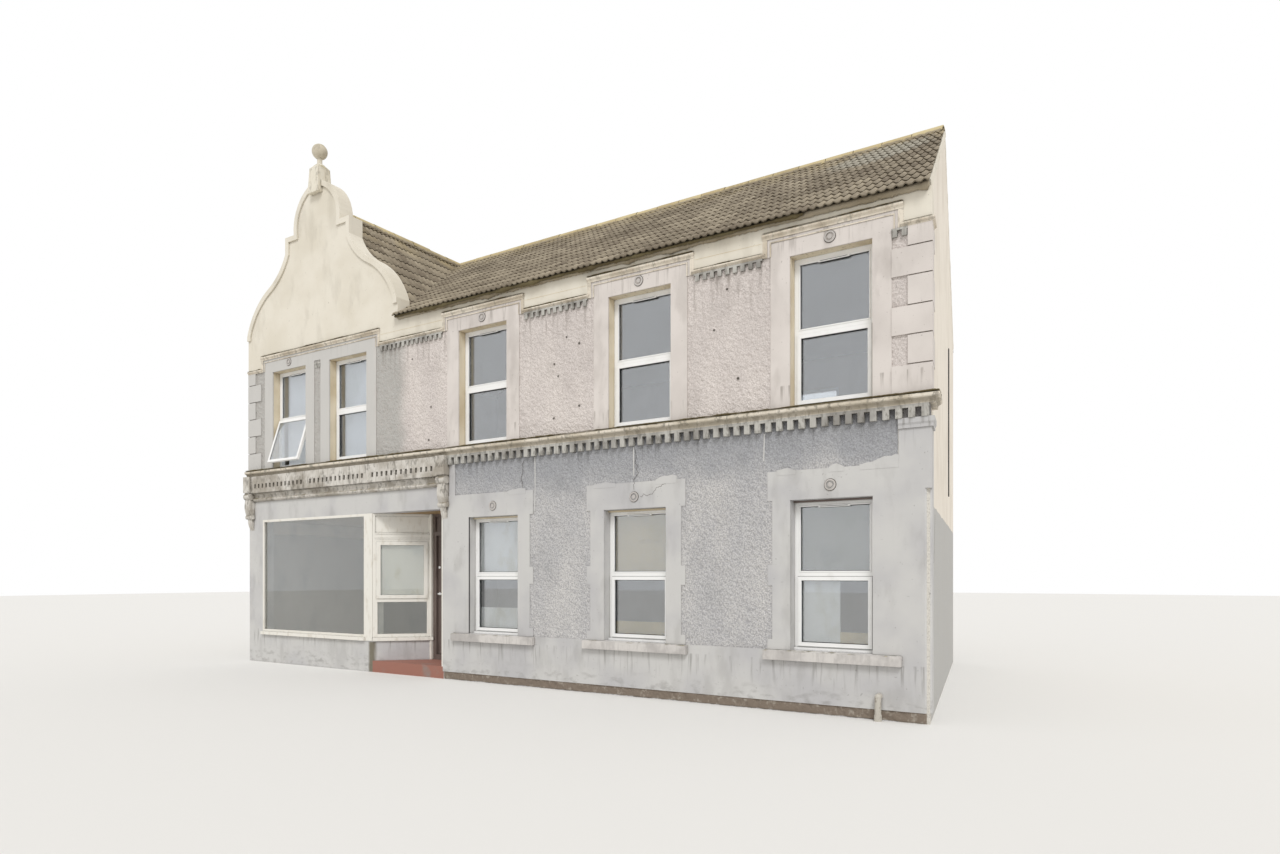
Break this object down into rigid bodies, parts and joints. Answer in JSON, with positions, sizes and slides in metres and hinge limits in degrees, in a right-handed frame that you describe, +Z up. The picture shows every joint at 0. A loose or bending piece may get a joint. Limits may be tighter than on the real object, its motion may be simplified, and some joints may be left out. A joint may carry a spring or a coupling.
{
  "type": "corner shop building",
  "caption": "Two-storey rendered corner shop with a curved gable, tiled roof, splayed shopfront and a hinged shop door.",
  "frame": {"origin": "middle of the plan on the underside, level with the lowest ground at the street corner", "axes": "+X along the street front to the street corner, +Y into the building, +Z up"},
  "size_m": [12.8265, 7.2902, 9.298],
  "materials": {
    "black_gutter": "extruded plastic",
    "brown_timber": "dark stain, worn",
    "cast_stone": "painted stone",
    "concrete": "floated",
    "cream_render": "smooth painted render, weathered",
    "floor_boards": "bare boards",
    "grey_pipe": "dull plastic, stained",
    "grey_render": "smooth masonry paint, stained",
    "lower_roughcast": "painted roughcast",
    "moulded_render": "run moulding, painted, weathered",
    "red_step": "worn red tile paint",
    "ridge_tile": "weathered, with lichen",
    "roof_tile": "weathered concrete tile",
    "upper_roughcast": "painted roughcast",
    "white_frame": "smooth white profile",
    "white_metal": "painted",
    "white_timber": "painted",
    "window_glass": "clear, a little dusty"
  },
  "bodies": {
    "building": {"ground_floor": "concrete", "upper_floor": "floor_boards", "ground_front_wall": "lower_roughcast", "upper_front_wall": "upper_roughcast", "side_wall": "cream_render", "back_wall": "cream_render", "left_wall": "cream_render", "back_gable": "cream_render", "curved_gable": "cream_render", "gable_coping": "cream_render", "gable_pedestal": "cream_render", "gable_ball": "cast_stone", "roof_front_slope": "roof_tile", "roof_back_slope": "roof_tile", "cross_roof_left": "roof_tile", "cross_roof_right": "roof_tile", "ridge_tiles": "ridge_tile", "frieze": "cream_render", "label_moulding": "moulded_render", "label_dentils": "moulded_render", "string_course": "moulded_render", "string_dentils": "moulded_render", "upper_surrounds": "grey_render", "ground_surrounds": "grey_render", "window_sills": "cast_stone", "plinth": "grey_render", "corner_pilaster": "grey_render", "corner_quoins": "grey_render", "left_quoins": "grey_render", "round_plaques": "grey_render", "shop_pilaster": "grey_render", "shop_fascia": "grey_render", "shop_cornice": "moulded_render", "scroll_brackets": "moulded_render", "stall_riser": "grey_render", "shop_window_frame": "white_timber", "door_screen": "white_timber", "shop_glass": "window_glass", "entrance_step": "red_step", "door_frame": "brown_timber", "ground_window_frames": "white_frame", "upper_window_frames": "white_frame", "back_window_frames": "white_frame", "window_glass": "window_glass", "back_gutter": "black_gutter", "pipe_stub": "grey_pipe"},
    "door": {"door_leaf": "brown_timber", "door_handle": "white_metal"}
  },
  "joints": [
    {"name": "shop_door", "type": "hinge", "parent": "building", "child": "door", "pos_m": [-1.1385, -2.671, 0], "axis": [0, 0, -1], "range_deg": [0, 90]}
  ]
}
